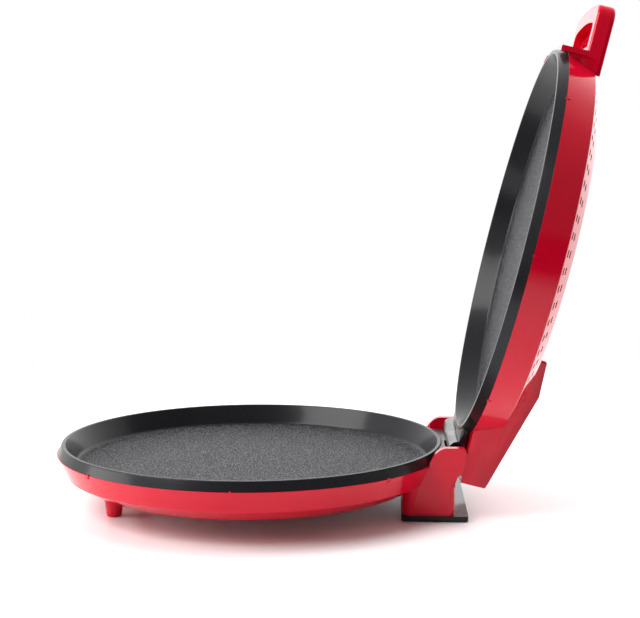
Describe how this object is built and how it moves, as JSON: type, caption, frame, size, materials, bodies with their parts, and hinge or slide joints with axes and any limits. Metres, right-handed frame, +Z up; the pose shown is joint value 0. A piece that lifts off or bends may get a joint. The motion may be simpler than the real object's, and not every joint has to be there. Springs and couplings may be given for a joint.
{
  "type": "countertop pizza maker",
  "caption": "Red countertop pizza maker with a round lower dish on a rear stand and a matching lid dish on a hinge.",
  "frame": {"origin": "centre of the open object's outline on the table it stands on", "axes": "+Z up, +Y back towards the hinge and the open lid, -Y towards the user, +X to the side the picture is taken from"},
  "size_m": [0.32, 0.4432, 0.4003],
  "materials": {
    "red_plastic": "smooth high gloss moulding",
    "nonstick_aluminium": "dark non-stick coating with a fine speckle on cast aluminium",
    "black_plastic": "glossy moulding",
    "rubber": "matt",
    "black_rubber": "matt sleeve",
    "steel": "zinc plated",
    "red_steel": "painted screw head",
    "element_steel": "dull stainless tube",
    "reflector_aluminium": "bright sheet",
    "ceramic": "unglazed",
    "dark_phenolic": "moulded",
    "pale_plastic": "moulded",
    "brass": "turned",
    "lead_insulation": "glass-fibre covered leads",
    "lamp_red": "translucent red",
    "lamp_green": "translucent green",
    "lamp_glass": "small neon lamps"
  },
  "bodies": {
    "base": {"base_clamp_screws": "steel", "base_dish": "nonstick_aluminium", "base_element_beads": "ceramic", "base_element_clamps": "steel", "base_element_pins": "steel", "base_heating_element": "element_steel", "base_housing": "red_plastic", "base_lead_sleeve": "black_rubber", "base_reflector": "reflector_aluminium", "base_screws": "steel", "base_terminal_block": "pale_plastic", "base_terminal_screws": "brass", "base_thermal_fuse": "pale_plastic", "base_thermostat_body": "dark_phenolic", "base_thermostat_cap": "reflector_aluminium", "base_thermostat_screws": "steel", "base_wiring": "lead_insulation", "cord_gland": "black_plastic", "foot_plate": "black_plastic", "foot_plate_screws": "steel", "front_foot_pads": "rubber", "hinge_pin": "steel", "rear_pads": "rubber"},
    "lid": {"handle_insert": "red_plastic", "handle_screws": "red_steel", "lid_clamp_screws": "steel", "lid_dish": "nonstick_aluminium", "lid_element_beads": "ceramic", "lid_element_clamps": "steel", "lid_element_pins": "steel", "lid_heating_element": "element_steel", "lid_housing": "red_plastic", "lid_lamps": "lamp_glass", "lid_lead_sleeve": "black_rubber", "lid_power_lamp_lens": "lamp_red", "lid_ready_lamp_lens": "lamp_green", "lid_reflector": "reflector_aluminium", "lid_reflector_screws": "steel", "lid_terminal_block": "pale_plastic", "lid_terminal_screws": "brass", "lid_thermal_fuse": "pale_plastic", "lid_thermostat_body": "dark_phenolic", "lid_thermostat_cap": "reflector_aluminium", "lid_thermostat_screws": "steel", "lid_wiring": "lead_insulation"}
  },
  "joints": [
    {"name": "lid_hinge", "type": "hinge", "parent": "base", "child": "lid", "pos_m": [0, 0.10489, 0.0532], "axis": [-1, 0, 0], "range_deg": [-103.6, 0]}
  ]
}
